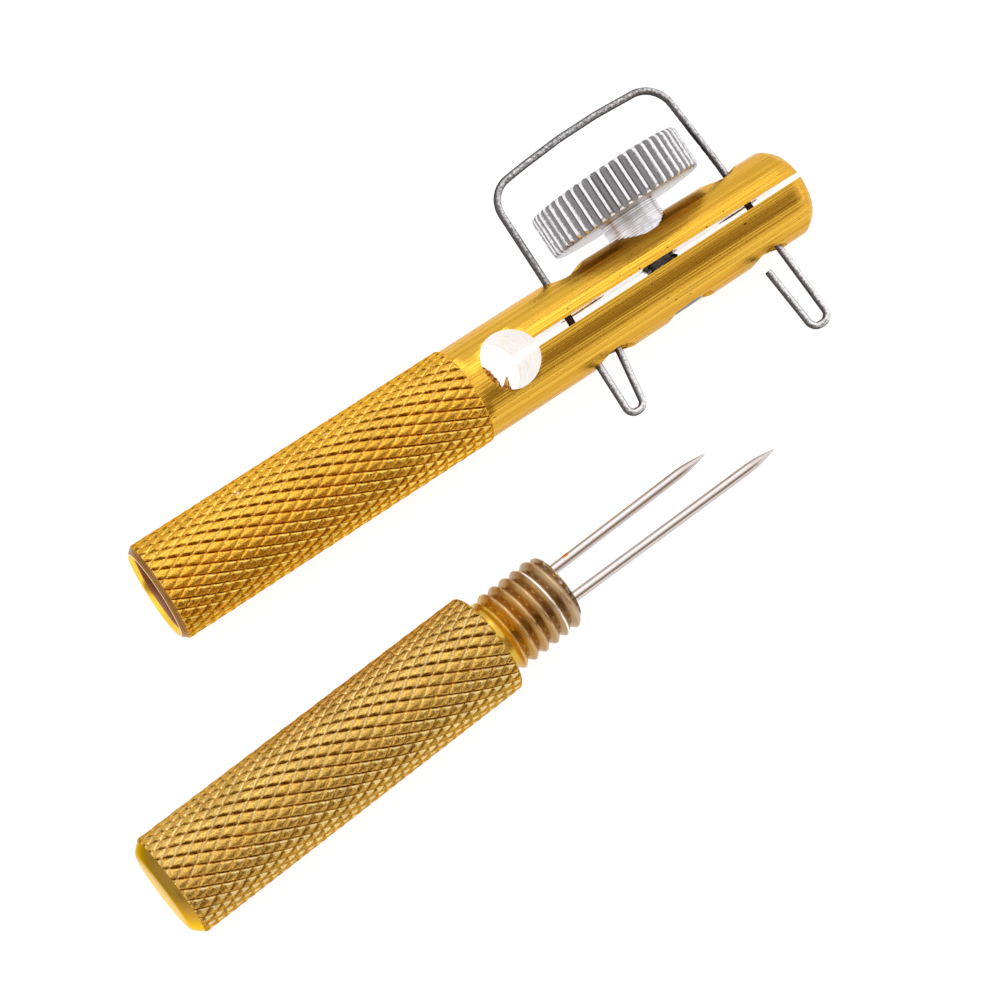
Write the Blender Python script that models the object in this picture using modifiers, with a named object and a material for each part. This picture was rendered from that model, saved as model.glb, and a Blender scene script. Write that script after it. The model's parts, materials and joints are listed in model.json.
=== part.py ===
"""Knot-tying hand tool in two halves that screw together, lying side by side.

The tool half is a knurled tube whose front is slotted into two jaws, with a thumb screw that
pinches them and a bent wire frame that slides through both. The needle half is a knurled handle
with a threaded spigot and two needles. Metres, +Z up, and the halves rest on the plane z = 0.
"""

import math

import bmesh
import bpy
from mathutils import Matrix, Vector

MM = 0.001
# Clearance between pieces that touch on the real tool.
GAP = 0.3 * MM
ROUND_STEPS = 48

# Where each half's open or rear end lies, how far the tool half is rolled about its own length,
# and how far the needle half is turned away from it.
HANDLE_RADIUS = 6.25 * MM
TOOL_AT = Vector((-36.265 * MM, 8.775 * MM, HANDLE_RADIUS))
TOOL_ROLL = math.radians(22.5)
NEEDLE_OFFSET = Vector((-17.68 * MM, -29.92 * MM, 0.0))
NEEDLE_TURN = math.radians(3.57)
# Rear end of the needle half when it is held in line with the tool half, ready to enter it.
NEEDLE_IN_LINE = Vector((-128.0 * MM, 0.0, 0.0))

# Tool half, measured along its own length (x) from the edge of the knurl.
GRIP_LENGTH = 42.6 * MM
TOOL_LENGTH = 91.6 * MM
JAW_RADIUS = 6.0 * MM
JAW_NOSE_ROUND = 1.0 * MM
LIP_RADIUS = 5.9 * MM
LIP_LENGTH = 0.6 * MM
LIP_CHAMFER = 0.3 * MM
MOUTH_RADIUS = 5.7 * MM
COUNTERBORE_RADIUS = 5.4 * MM
COUNTERBORE_DEPTH = 1.6 * MM
TAPPED_RADIUS = 4.95 * MM
TAPPED_DEPTH = 12.0 * MM
BORE_RADIUS = 4.25 * MM
BORE_DEPTH = 42.8 * MM
DRILL_HALF_ANGLE = math.radians(59)

# The slot is a little off the centre of the tube (y is across the slot, z along its depth).
SLOT_Y = 0.5 * MM
SLOT_ROOT_WIDTH = 1.16 * MM
SLOT_NOSE_WIDTH = 0.8 * MM
RELIEF_X = 48.3 * MM
RELIEF_RADIUS = 3.6 * MM
LEG_HOLES = ((60.78 * MM, 3.08 * MM), (84.2 * MM, 2.8 * MM))

# Thumb screw, across the jaws at SCREW_X.
SCREW_X = 72.2 * MM
SCREW_RADIUS = 2.4 * MM
SCREW_TIP_Y = -5.75 * MM
RECESS_RADIUS = 4.0 * MM
RECESS_FLOOR_Y = 2.8 * MM
TIP_RECESS_RADIUS = 3.5 * MM
TIP_RECESS_FLOOR_Y = -5.45 * MM
COLLAR_RADIUS = 3.6 * MM
WHEEL_RADIUS = 10.15 * MM
WHEEL_NEAR_Y = 7.85 * MM
WHEEL_FAR_Y = 13.47 * MM
WHEEL_EDGE = 0.5 * MM
WHEEL_SOCKET_DEPTH = 4.4 * MM

# Wire frame: the corners of its centre line across the jaws, with the radius of each bend.
WIRE_RADIUS = 0.5 * MM
WIRE_Z = 0.5 * MM
WIRE_CORNERS = (
    ((61.7, -4.9), 0.0),
    ((60.48, -12.72), 1.05),
    ((58.36, -12.72), 1.0),
    ((58.6, 6.0), 60.0),
    ((58.66, 18.59), 3.4),
    ((72.6, 20.26), 87.0),
    ((84.17, 19.39), 3.8),
    ((85.22, 7.0), 60.0),
    ((86.56, -16.17), 1.2),
    ((83.9, -16.17), 1.2),
    ((83.02, -7.3), 0.0),
)

# Needle half, measured along its own length from the rear edge of the knurl.
NEEDLE_GRIP_LENGTH = 44.2 * MM
END_FACE_RADIUS = 4.7 * MM
END_FACE_OUT = 1.1 * MM
NECK_RADIUS = 4.4 * MM
THREAD_FIRST_CREST = 45.91 * MM
THREAD_PITCH = 1.54 * MM
THREAD_CRESTS = 6
THREAD_CREST_RADIUS = 4.8 * MM
THREAD_ROOT_RADIUS = 4.05 * MM
THREAD_CREST_FLAT = 0.35 * MM
SPIGOT_END = 54.4 * MM
SPIGOT_END_RADIUS = 4.35 * MM
NEEDLE_RADIUS = 0.62 * MM
NEEDLE_SEAT_DEPTH = 8.0 * MM
NEEDLE_TAPER = 4.3 * MM
LONG_NEEDLE = {"y": -1.88 * MM, "tip": 85.28 * MM, "lean": math.radians(-1.2)}
SHORT_NEEDLE = {"y": 2.18 * MM, "tip": 78.7 * MM, "lean": 0.0}

# Rotations that lay a piece turned about its own z along x, or along y.
ALONG_X = (0.0, math.pi / 2, 0.0)
ALONG_Y = (-math.pi / 2, 0.0, 0.0)


def clear_scene():
    """Remove every object of the scene."""
    for old in list(bpy.data.objects):
        bpy.data.objects.remove(old, do_unlink=True)


def new_collection(name, hidden=False):
    """A collection of its own under the scene."""
    collection = bpy.data.collections.new(name)
    collection.hide_render = hidden
    bpy.context.scene.collection.children.link(collection)
    return collection


def metal(name, colour, roughness):
    """A bare metal material."""
    material = bpy.data.materials.new(name)
    material.use_nodes = True
    shader = material.node_tree.nodes["Principled BSDF"]
    shader.inputs["Base Color"].default_value = (*colour, 1.0)
    shader.inputs["Metallic"].default_value = 1.0
    shader.inputs["Roughness"].default_value = roughness
    return material


def empty(name, location, parent=None, roll=0.0, turn=0.0):
    """A frame that pieces are placed in."""
    frame = bpy.data.objects.new(name, None)
    frame.location = location
    frame.rotation_euler = (roll, 0.0, turn)
    frame.parent = parent
    frame.empty_display_size = 5 * MM
    PARTS.objects.link(frame)
    return frame


def place(name, mesh, frame, location=(0, 0, 0), rotation=(0, 0, 0), cutter=False):
    """An object for this mesh, in its frame; a cutter is kept out of the render."""
    piece = bpy.data.objects.new(name, mesh)
    (CUTTERS if cutter else PARTS).objects.link(piece)
    piece.parent = frame
    piece.location = location
    piece.rotation_euler = rotation
    if cutter:
        piece.hide_render = True
        piece.display_type = "WIRE"
    return piece


def finish(piece, material):
    """Give a piece its material and smooth shading with crisp edges."""
    piece.data.materials.append(material)
    piece.data.shade_smooth()
    piece.data.set_sharp_from_angle(angle=math.radians(35))


def turned(name, profile, frame, location=(0, 0, 0), rotation=ALONG_X, cutter=False):
    """A solid of revolution about its own z: the profile runs from its top to its bottom."""
    bm = bmesh.new()
    points = [bm.verts.new((radius, 0.0, height)) for radius, height in profile]
    for first, second in zip(points, points[1:]):
        bm.edges.new((first, second))
    mesh = bpy.data.meshes.new(name)
    bm.to_mesh(mesh)
    bm.free()
    piece = place(name, mesh, frame, location, rotation, cutter)
    spin = piece.modifiers.new("turn", "SCREW")
    spin.axis = "Z"
    spin.steps = ROUND_STEPS
    spin.render_steps = ROUND_STEPS
    spin.use_smooth_shade = True
    spin.use_merge_vertices = True
    spin.merge_threshold = 0.000001
    return piece


def rod(radius, bottom, top):
    """Profile of a plain cylinder."""
    return [(0.0, top), (radius, top), (radius, bottom), (0.0, bottom)]


def cut(piece, cutter):
    """Take the cutter away from the piece."""
    boolean = piece.modifiers.new(cutter.name, "BOOLEAN")
    boolean.operation = "DIFFERENCE"
    boolean.solver = "EXACT"
    boolean.object = cutter


def cylinder_cutter(name, frame, location, rotation, radius, bottom, top):
    """A round cutter about its own z, from bottom to top."""
    return turned(name, rod(radius, bottom, top), frame, location, rotation, cutter=True)


def slot_cutter(frame):
    """A wedge that is wider at the relief hole than at the nose, where the jaws are pinched."""
    nose = TOOL_LENGTH + JAW_RADIUS
    bm = bmesh.new()
    bmesh.ops.create_cube(bm, size=1.0)
    for corner in bm.verts:
        at_nose = corner.co.x > 0
        width = SLOT_NOSE_WIDTH if at_nose else SLOT_ROOT_WIDTH
        corner.co.x = nose if at_nose else RELIEF_X
        corner.co.y = SLOT_Y + math.copysign(width / 2, corner.co.y)
        corner.co.z = math.copysign(2 * JAW_RADIUS, corner.co.z)
    mesh = bpy.data.meshes.new("slot_cutter")
    bm.to_mesh(mesh)
    bm.free()
    return place("slot_cutter", mesh, frame, cutter=True)


def rounded_path(corners):
    """Points along a polyline whose corners are arcs, from (point, bend radius) pairs."""
    path = [Vector(corners[0][0])]
    for before, (corner, radius), after in zip(corners, corners[1:], corners[2:]):
        middle = Vector(corner)
        back = (Vector(before[0]) - middle).normalized()
        ahead = (Vector(after[0]) - middle).normalized()
        half = back.angle(ahead) / 2
        sweep = math.pi - 2 * half
        centre = middle + (back + ahead).normalized() * radius / math.sin(half)
        start = middle + back * radius / math.tan(half)
        turn = math.copysign(sweep, back.x * ahead.y - back.y * ahead.x)
        steps = max(2, math.ceil(sweep / math.radians(22)))
        for step in range(steps + 1):
            spoke = Matrix.Rotation(-turn * step / steps, 2) @ (start - centre)
            path.append(centre + spoke)
    path.append(Vector(corners[-1][0]))
    return path


def make_tool_body(frame):
    """Knurled grip and slotted jaws, one turned bar with its drilled holes."""
    nose_steps = 4
    nose = [
        (
            JAW_RADIUS - JAW_NOSE_ROUND * (1 - math.sin(angle)),
            TOOL_LENGTH - JAW_NOSE_ROUND * (1 - math.cos(angle)),
        )
        for angle in (math.pi / 2 * step / nose_steps for step in range(nose_steps + 1))
    ]
    profile = [(0.0, TOOL_LENGTH), *nose]
    profile += [(JAW_RADIUS, GRIP_LENGTH), (HANDLE_RADIUS, GRIP_LENGTH - 0.2 * MM)]
    profile += [(HANDLE_RADIUS, LIP_CHAMFER - LIP_LENGTH)]
    profile += [(LIP_RADIUS, -LIP_LENGTH), (0.0, -LIP_LENGTH)]
    body = turned("tool_body", profile, frame)

    past = 1.0 * MM
    drill_tip = BORE_DEPTH + BORE_RADIUS / math.tan(DRILL_HALF_ANGLE)
    bore = [(0.0, drill_tip), (BORE_RADIUS, BORE_DEPTH), (BORE_RADIUS, TAPPED_DEPTH)]
    bore += [(TAPPED_RADIUS, TAPPED_DEPTH - GAP), (TAPPED_RADIUS, COUNTERBORE_DEPTH + GAP)]
    bore += [(COUNTERBORE_RADIUS, COUNTERBORE_DEPTH), (COUNTERBORE_RADIUS, -LIP_LENGTH / 2)]
    bore += [(MOUTH_RADIUS, -LIP_LENGTH), (MOUTH_RADIUS, -LIP_LENGTH - past)]
    bore += [(0.0, -LIP_LENGTH - past)]
    cut(body, turned("bore_cutter", bore, frame, cutter=True))

    through = 2 * JAW_RADIUS
    relief_at = (RELIEF_X, SLOT_Y, 0.0)
    cut(body, cylinder_cutter("relief_cutter", frame, relief_at, (0, 0, 0),
                              RELIEF_RADIUS, -through, through))
    cut(body, slot_cutter(frame))
    for number, (x, radius) in enumerate(LEG_HOLES, start=1):
        name = f"leg_hole_cutter_{number}"
        cut(body, cylinder_cutter(name, frame, (x, 0, 0), ALONG_Y, radius, -through, through))
    screw_at = (SCREW_X, 0, 0)
    for name, radius, bottom, top in (
        ("screw_hole_cutter", SCREW_RADIUS + GAP, -through, through),
        ("recess_cutter", RECESS_RADIUS, RECESS_FLOOR_Y, through),
        ("tip_recess_cutter", TIP_RECESS_RADIUS, -through, TIP_RECESS_FLOOR_Y),
    ):
        cut(body, cylinder_cutter(name, frame, screw_at, ALONG_Y, radius, bottom, top))
    return body


def make_wheel(frame):
    """Thumb wheel, a disc with rounded rims and a blind socket for the screw's head."""
    low, high = WHEEL_NEAR_Y, WHEEL_FAR_Y
    steps = 3
    arc = [math.pi / 2 * step / steps for step in range(steps + 1)]
    inner = WHEEL_RADIUS - WHEEL_EDGE
    rim = [(inner + WHEEL_EDGE * math.sin(a), high - WHEEL_EDGE * (1 - math.cos(a))) for a in arc]
    rim += [
        (inner + WHEEL_EDGE * math.cos(a), low + WHEEL_EDGE * (1 - math.sin(a))) for a in arc
    ]
    wheel = turned("thumb_wheel", [(0.0, high), *rim, (0.0, low)], frame, rotation=ALONG_Y)
    socket = (low - MM, low + WHEEL_SOCKET_DEPTH)
    cut(wheel, cylinder_cutter("wheel_socket_cutter", frame, (0, 0, 0), ALONG_Y,
                               SCREW_RADIUS + GAP, *socket))
    return wheel


def make_collar(frame):
    """Plain ring between the wheel and the floor of its recess in the jaw."""
    top, bottom = WHEEL_NEAR_Y - GAP, RECESS_FLOOR_Y + GAP
    collar = turned("wheel_collar", rod(COLLAR_RADIUS, bottom, top), frame, rotation=ALONG_Y)
    cut(collar, cylinder_cutter("collar_bore_cutter", frame, (0, 0, 0), ALONG_Y,
                                SCREW_RADIUS + GAP, bottom - MM, top + MM))
    return collar


def make_screw(frame):
    """Clamp screw: a plain shank at the thread's outer size, chamfered at its tip."""
    top = WHEEL_NEAR_Y + WHEEL_SOCKET_DEPTH - GAP
    chamfer = 0.4 * MM
    profile = [(0.0, top), (SCREW_RADIUS, top), (SCREW_RADIUS, SCREW_TIP_Y + chamfer)]
    profile += [(SCREW_RADIUS - chamfer, SCREW_TIP_Y), (0.0, SCREW_TIP_Y)]
    return turned("clamp_screw", profile, frame, rotation=ALONG_Y)


def make_wire_frame(frame):
    """One wire bent into a staple with a small hook at the foot of each leg."""
    corners = [(Vector(point) * MM, radius * MM) for point, radius in WIRE_CORNERS]
    path = rounded_path(corners)
    curve = bpy.data.curves.new("wire_frame", "CURVE")
    curve.dimensions = "3D"
    curve.bevel_depth = WIRE_RADIUS
    curve.bevel_resolution = 2
    curve.use_fill_caps = True
    spline = curve.splines.new("POLY")
    spline.points.add(len(path) - 1)
    for point, (x, y) in zip(spline.points, path):
        point.co = (x, y, 0.0, 1.0)
    wire = place("wire_frame", curve, frame)
    curve.materials.append(STEEL)
    return wire


def make_needle_handle(frame):
    """Knurled handle, neck and threaded spigot, with the thread as plain rings."""
    profile = [(0.0, SPIGOT_END), (SPIGOT_END_RADIUS, SPIGOT_END)]
    flat = THREAD_CREST_FLAT / 2
    for number in reversed(range(THREAD_CRESTS)):
        crest = THREAD_FIRST_CREST + number * THREAD_PITCH
        profile += [(THREAD_CREST_RADIUS, crest + flat), (THREAD_CREST_RADIUS, crest - flat)]
        if number:
            profile.append((THREAD_ROOT_RADIUS, crest - THREAD_PITCH / 2))
    profile += [(NECK_RADIUS, THREAD_FIRST_CREST - THREAD_PITCH / 2)]
    profile += [(NECK_RADIUS, NEEDLE_GRIP_LENGTH), (HANDLE_RADIUS - 0.2 * MM, NEEDLE_GRIP_LENGTH)]
    profile += [(HANDLE_RADIUS, NEEDLE_GRIP_LENGTH - 0.2 * MM), (HANDLE_RADIUS, 0.0)]
    profile += [(END_FACE_RADIUS, -END_FACE_OUT), (0.0, -END_FACE_OUT)]
    handle = turned("needle_handle", profile, frame)
    for name, needle in (("long_seat_cutter", LONG_NEEDLE), ("short_seat_cutter", SHORT_NEEDLE)):
        depth = SPIGOT_END - NEEDLE_SEAT_DEPTH
        seat = (0.0, needle["y"], 0.0)
        cut(handle, cylinder_cutter(name, frame, seat, ALONG_X, NEEDLE_RADIUS + GAP,
                                    depth, SPIGOT_END + MM))
    return handle


def make_needle(name, size, frame):
    """Round needle with a plain conical point, seated in the spigot's face."""
    foot = SPIGOT_END - NEEDLE_SEAT_DEPTH + GAP
    length = size["tip"] - foot
    profile = [(0.0, length), (NEEDLE_RADIUS, length - NEEDLE_TAPER), (NEEDLE_RADIUS, 0.0)]
    profile += [(0.0, 0.0)]
    lean = math.tan(size["lean"]) * NEEDLE_SEAT_DEPTH / 2
    needle = turned(name, profile, frame, (foot, size["y"] - lean, 0.0))
    needle.rotation_euler = (Matrix.Rotation(size["lean"], 3, "Z")
                             @ Matrix.Rotation(math.pi / 2, 3, "Y")).to_euler()
    return needle


def carry_pole():
    """Point that the needle half turns about to come from beside the tool half into line."""
    back = Matrix.Rotation(-NEEDLE_TURN, 2)
    start, end = NEEDLE_OFFSET.xy, NEEDLE_IN_LINE.xy
    pole = (Matrix.Identity(2) - back).inverted() @ (end - back @ start)
    return TOOL_AT + pole.to_3d()


clear_scene()
PARTS = new_collection("knot_tying_tool")
CUTTERS = new_collection("cutters", hidden=True)

GOLD = metal("gold_anodised", (0.83, 0.56, 0.12), 0.28)
OLIVE_GOLD = metal("olive_gold_anodised", (0.62, 0.44, 0.12), 0.34)
NICKEL = metal("bright_nickel", (0.78, 0.77, 0.76), 0.22)
TURNED_NICKEL = metal("turned_nickel", (0.72, 0.71, 0.7), 0.3)
SCREW_STEEL = metal("screw_steel", (0.5, 0.49, 0.48), 0.35)
STEEL = metal("wire_steel", (0.5, 0.48, 0.47), 0.35)
NEEDLE_STEEL = metal("needle_steel", (0.66, 0.62, 0.6), 0.22)

TOOL_FRAME = empty("tool_frame", TOOL_AT, roll=TOOL_ROLL)
SCREW_FRAME = empty("screw_axis", (SCREW_X, 0, 0), TOOL_FRAME)
WIRE_FRAME = empty("wire_slide", (0, 0, WIRE_Z), TOOL_FRAME)
CARRY_AXIS = empty("carry_axis", carry_pole())
NEEDLE_FRAME = empty("needle_frame", TOOL_AT + NEEDLE_OFFSET - carry_pole(), CARRY_AXIS,
                     turn=NEEDLE_TURN)

finish(make_tool_body(TOOL_FRAME), GOLD)
finish(make_wheel(SCREW_FRAME), NICKEL)
finish(make_collar(SCREW_FRAME), TURNED_NICKEL)
finish(make_screw(SCREW_FRAME), SCREW_STEEL)
make_wire_frame(WIRE_FRAME)
finish(make_needle_handle(NEEDLE_FRAME), OLIVE_GOLD)
finish(make_needle("long_needle", LONG_NEEDLE, NEEDLE_FRAME), NEEDLE_STEEL)
finish(make_needle("short_needle", SHORT_NEEDLE, NEEDLE_FRAME), NEEDLE_STEEL)
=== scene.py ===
"""Looks of the two-piece knot tying tool: knurls, flutes, threads, bent jaws, metals and light."""
import json
import math

import bmesh
import bpy
import numpy as np
from mathutils import Matrix, Vector


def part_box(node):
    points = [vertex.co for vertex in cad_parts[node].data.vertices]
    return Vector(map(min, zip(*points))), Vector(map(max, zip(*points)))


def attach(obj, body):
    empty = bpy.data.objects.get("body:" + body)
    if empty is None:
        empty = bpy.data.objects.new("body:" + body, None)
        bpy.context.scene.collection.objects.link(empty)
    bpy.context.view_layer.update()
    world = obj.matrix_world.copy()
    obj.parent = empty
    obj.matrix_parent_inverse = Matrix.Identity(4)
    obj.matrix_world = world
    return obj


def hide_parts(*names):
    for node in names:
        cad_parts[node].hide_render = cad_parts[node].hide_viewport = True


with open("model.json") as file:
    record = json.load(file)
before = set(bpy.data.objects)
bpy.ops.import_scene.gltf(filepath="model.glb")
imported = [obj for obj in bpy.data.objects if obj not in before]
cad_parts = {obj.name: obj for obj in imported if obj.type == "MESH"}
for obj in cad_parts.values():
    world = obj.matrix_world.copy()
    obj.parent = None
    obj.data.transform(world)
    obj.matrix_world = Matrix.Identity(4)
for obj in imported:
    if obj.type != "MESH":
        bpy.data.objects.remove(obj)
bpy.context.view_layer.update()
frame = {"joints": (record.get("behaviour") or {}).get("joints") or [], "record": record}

MM = 0.001

# ---- Places read from the frame ----
joints = {joint["name"]: joint for joint in frame["joints"]}
HANDLE_RADIUS = 6.25 * MM
TOOL_LENGTH = 91.6 * MM
SCREW_X = 72.2 * MM
body_low, body_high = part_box("tool_body")
slide_axis = Vector(joints["frame_slide"]["axis"])
TOOL_ROLL = math.atan2(slide_axis.z, slide_axis.y)
# The tool half's own frame: x along it from the knurl's rear edge, y along the thumb screw.
TOOL_AT = (body_high.x - TOOL_LENGTH, (body_low.y + body_high.y) / 2, HANDLE_RADIUS)
TOOL = Matrix.Translation(TOOL_AT) @ Matrix.Rotation(TOOL_ROLL, 4, "X")
# The screw's frame: x along its axis, outwards.
SCREW = TOOL @ Matrix.Translation((SCREW_X, 0, 0)) @ Matrix.Rotation(math.pi / 2, 4, "Z")
WIRE_Z = 0.5 * MM
WIRE = TOOL @ Matrix.Translation((0, 0, WIRE_Z))

# The needle half's own frame, from the flat face at its rear end.
END_FACE_OUT = 1.1 * MM
rear = next(m for m in frame["record"]["mounts"] if m["name"] == "needle_handle_end")
rear_out = Vector(rear["axis"])
NEEDLE_TURN = math.atan2(-rear_out.y, -rear_out.x)
NEEDLE = Matrix.Translation(Vector(rear["pos_m"]) - rear_out * END_FACE_OUT)
NEEDLE = NEEDLE @ Matrix.Rotation(NEEDLE_TURN, 4, "Z")

# ---- Sizes of the fine shapes ----
GRIP_LENGTH = 42.6 * MM
JAW_RADIUS = 6.0 * MM
# (distance back from the nose, radius) in millimetres.
NOSE_ROUND = ((0.0, 4.55), (0.12, 4.85), (0.4, 5.17), (0.8, 5.50), (1.2, 5.78), (1.5, 5.93))
COUNTERBORE_DEPTH = 1.6 * MM
COUNTERBORE_RADIUS = 5.04 * MM
# The lip round the mouth as (x, radius) in millimetres, and the radius of the pale line on its rim,
# partly wear and partly a painted highlight.
LIP = ((-0.12, 5.95), (-0.3, 5.82), (-0.48, 5.66), (-0.56, 5.56), (-0.6, 5.47), (-0.59, 5.38),
       (-0.4, 5.22), (-0.05, 5.06))
RIM_LINE_RADIUS = 5.47 * MM
BORE_RADIUS = 4.25 * MM
BORE_DEPTH = 42.8 * MM
DRILL_HALF_ANGLE = 59
TAPPED_RADIUS = 4.95 * MM
TAPPED_DEPTH = 12.0 * MM
TAPPED_THREAD_DEPTH = 0.6 * MM
THREAD_PITCH = 1.54 * MM

# One diamond of the knurl is KNURL_STEPS cells wide and long. Its shares are of half a diamond.
KNURL_STEPS = 14
KNURL_DEPTH = 0.27 * MM
GROOVE_SHARE = 0.33
STEEP_GROOVE_FLOOR = 0.45
PAD_RISE = 0.2
TOOL_KNURL = {"starts": 28, "period": 2.695 * MM, "wobble": 0.0, "top": math.radians(90)}
NEEDLE_KNURL = {"starts": 27, "period": 2.43 * MM, "wobble": 1.7, "top": math.radians(112)}

SLOT_Y = 0.5 * MM
SLOT_WIDTH = 1.16 * MM
RELIEF_X = 48.3 * MM
RELIEF_RADIUS = 3.6 * MM
# (x, radius) of the two holes for the wire's legs.
LEG_HOLES = ((60.78 * MM, 3.08 * MM), (84.2 * MM, 2.8 * MM))
# How far the screw pinches each jaw towards the slot, at PINCH_TO.
PINCH_FROM = 52.0 * MM
PINCH_TO = 90.0 * MM
PINCH_WHEEL_JAW = 0.37 * MM
PINCH_OTHER_JAW = 0.13 * MM
BURR_TOP = 3.9 * MM
# How far the burr stands out of the relief hole's wall along its arc, in millimetres.
BURR_REACH = (0.3, 1.0, 1.3, 1.35, 1.3, 1.25, 1.1, 0.4, 2.2, 0.3)

SCREW_RADIUS = 2.4 * MM
SCREW_PITCH = 0.8 * MM
SCREW_THREAD_DEPTH = 0.45 * MM
RECESS_RADIUS = 4.0 * MM
RECESS_FLOOR = 2.8 * MM
TIP_RECESS_RADIUS = 3.5 * MM
TIP_RECESS_FLOOR = -5.45 * MM
WHEEL_RADIUS = 10.35 * MM
WHEEL_NEAR = 7.85 * MM
WHEEL_FAR = 13.47 * MM
WHEEL_DISH = 0.25 * MM
# The face towards the jaws is duller than the lands, at 0, and brighter than the flutes, at 1.
WHEEL_BACK_TONE = 0.27
FLUTES = 50
FLUTE_STEPS = 16
FLUTE_DEPTH = 0.42 * MM
FLUTE_SHARE = 0.68
COLLAR_RADIUS = 3.75 * MM

WIRE_RADIUS = 0.46 * MM
# The wire's corners as ((x, y), bend radius) in millimetres.
WIRE_CORNERS = (
    ((61.7, -4.9), 0.0),
    ((60.48, -12.72), 1.05),
    ((58.36, -12.72), 1.0),
    ((58.6, 6.0), 60.0),
    ((58.66, 18.59), 3.4),
    ((72.6, 20.26), 87.0),
    ((84.17, 19.39), 3.8),
    ((85.22, 7.0), 60.0),
    ((86.56, -16.17), 1.2),
    ((83.9, -16.17), 1.2),
    ((83.02, -7.3), 0.0),
)

NEEDLE_GRIP_LENGTH = 44.2 * MM
NECK_RADIUS = 4.4 * MM
FIRST_CREST = 46.68 * MM
THREAD_START = 45.1 * MM
# From and to where along the spigot one crest carries a painted highlight.
HIGHLIGHT_CREST_SPAN = (50.7 * MM, 52.4 * MM)
SPIGOT_END = 54.4 * MM
CREST_RADIUS = 4.8 * MM
ROOT_RADIUS = 4.05 * MM
NEEDLE_RADIUS = 0.62 * MM
NEEDLE_TAPER = 4.6 * MM
NEEDLE_SEAT = 2.0 * MM
RUST_AT = NEEDLE_SEAT + 3.3 * MM
# The neck between thread and knurl, and the rear end, as (x, radius) in millimetres.
NECK = ((45.0, 4.28), (44.7, 4.26), (44.45, 4.3), (44.22, 4.45), (44.2, 4.6), (44.2, 5.6))
REAR_END = ((-0.1, 5.9), (-0.35, 5.72), (-0.6, 5.5), (-0.85, 5.2), (-1.0, 4.95), (-1.07, 4.7),
            (-1.1, 4.4), (-1.1, 2.5), (-1.1, 1.0))
LONG_NEEDLE = {"y": -1.88 * MM, "tip": 85.28 * MM, "lean": math.radians(-1.2)}
SHORT_NEEDLE = {"y": 2.18 * MM, "tip": 78.7 * MM, "lean": 0.0}

# ---- Camera and stage ----
CAMERA_AT = Vector((-0.07138, -0.112397, 0.270699))
# How far the camera turns to the right of +y, looks down and rolls, in degrees.
CAMERA_YAW_FALL_ROLL = (34.199, 63.799, -2.058)
CAMERA_LENS = 92.07
FLOOR_DROP = 0.05 * MM
TENT_LIGHT = (1.22, 1.22, 1.24, 1)
TENT_BACK = (0.95, 0.95, 0.95, 1)
TENT_DARK_BAND = (0.34, 0.26, 0.17, 1)


# ---- Mesh helpers ----
def place(name, mesh, matrix, body, material, replaces=()):
    """An object for this mesh in its frame, riding on its CAD body."""
    piece = bpy.data.objects.new(name, mesh)
    bpy.context.scene.collection.objects.link(piece)
    piece.matrix_world = matrix
    if not mesh.materials:
        mesh.materials.append(material)
    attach(piece, body)
    if replaces:
        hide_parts(*replaces)
    return piece


def lathe(name, x, r, ring=False, sharp=35, split=None, values=None):
    """Mesh round the x axis from arrays x and r of (rows, columns), from its +x end to its -x end.

    A ring joins its last row to its first; otherwise each end closes on the axis. split says for
    each cell which diagonal it is cut along. values becomes the float attribute "relief".
    """
    rows, columns = r.shape
    x = np.broadcast_to(x, r.shape)
    angle = np.arange(columns) * (2 * math.pi / columns)
    points = np.stack([x, r * np.cos(angle), r * np.sin(angle)], -1).reshape(-1, 3)
    index = np.arange(rows * columns).reshape(rows, columns)
    upper = index if ring else index[:-1]
    lower = np.roll(index, -1, 0) if ring else index[1:]
    a, b = upper.ravel(), np.roll(upper, -1, 1).ravel()
    d, c = lower.ravel(), np.roll(lower, -1, 1).ravel()
    if split is None:
        faces = np.stack([a, d, c, b], -1).tolist()
    else:
        cut = split.ravel()[: len(a)]
        first = np.where(cut[:, None], np.stack([a, d, c], -1), np.stack([a, d, b], -1))
        second = np.where(cut[:, None], np.stack([a, c, b], -1), np.stack([b, d, c], -1))
        faces = np.concatenate([first, second]).tolist()
    if not ring:
        top, bottom = len(points), len(points) + 1
        ends = [[x[0].mean(), 0, 0], [x[-1].mean(), 0, 0]]
        points = np.concatenate([points, ends])
        for column in range(columns):
            after = (column + 1) % columns
            faces.append([top, index[0, column], index[0, after]])
            faces.append([bottom, index[-1, after], index[-1, column]])
    mesh = bpy.data.meshes.new(name)
    mesh.from_pydata(points.tolist(), [], faces)
    if values is not None:
        relief = mesh.attributes.new("relief", "FLOAT", "POINT")
        level = np.zeros(len(mesh.vertices), np.float32)
        level[: values.size] = values.ravel()
        relief.data.foreach_set("value", level)
    mesh.shade_smooth()
    mesh.set_sharp_from_angle(angle=math.radians(sharp))
    return mesh


def in_mm(pairs):
    """(x, radius) pairs from millimetres to metres."""
    return [(x * MM, radius * MM) for x, radius in pairs]


def even_rows(profile, columns):
    """x and r arrays for lathe from (x, radius) pairs, each radius the same all round."""
    x, r = np.array(profile).T
    return np.repeat(x[:, None], columns, 1), np.repeat(r[:, None], columns, 1)


def from_profile(name, profile, columns=64, **more):
    """Lathe mesh from (x, radius) pairs that run from the +x end to the -x end."""
    return lathe(name, *even_rows(profile, columns), **more)


def arc(centre, radius, start, end, steps):
    """(x, r) points round a centre; angle 0 points along +x and a quarter turn points outwards."""
    angles = np.radians(np.linspace(start, end, steps + 1))
    return [(centre[0] + radius * math.cos(a), centre[1] + radius * math.sin(a)) for a in angles]


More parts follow.
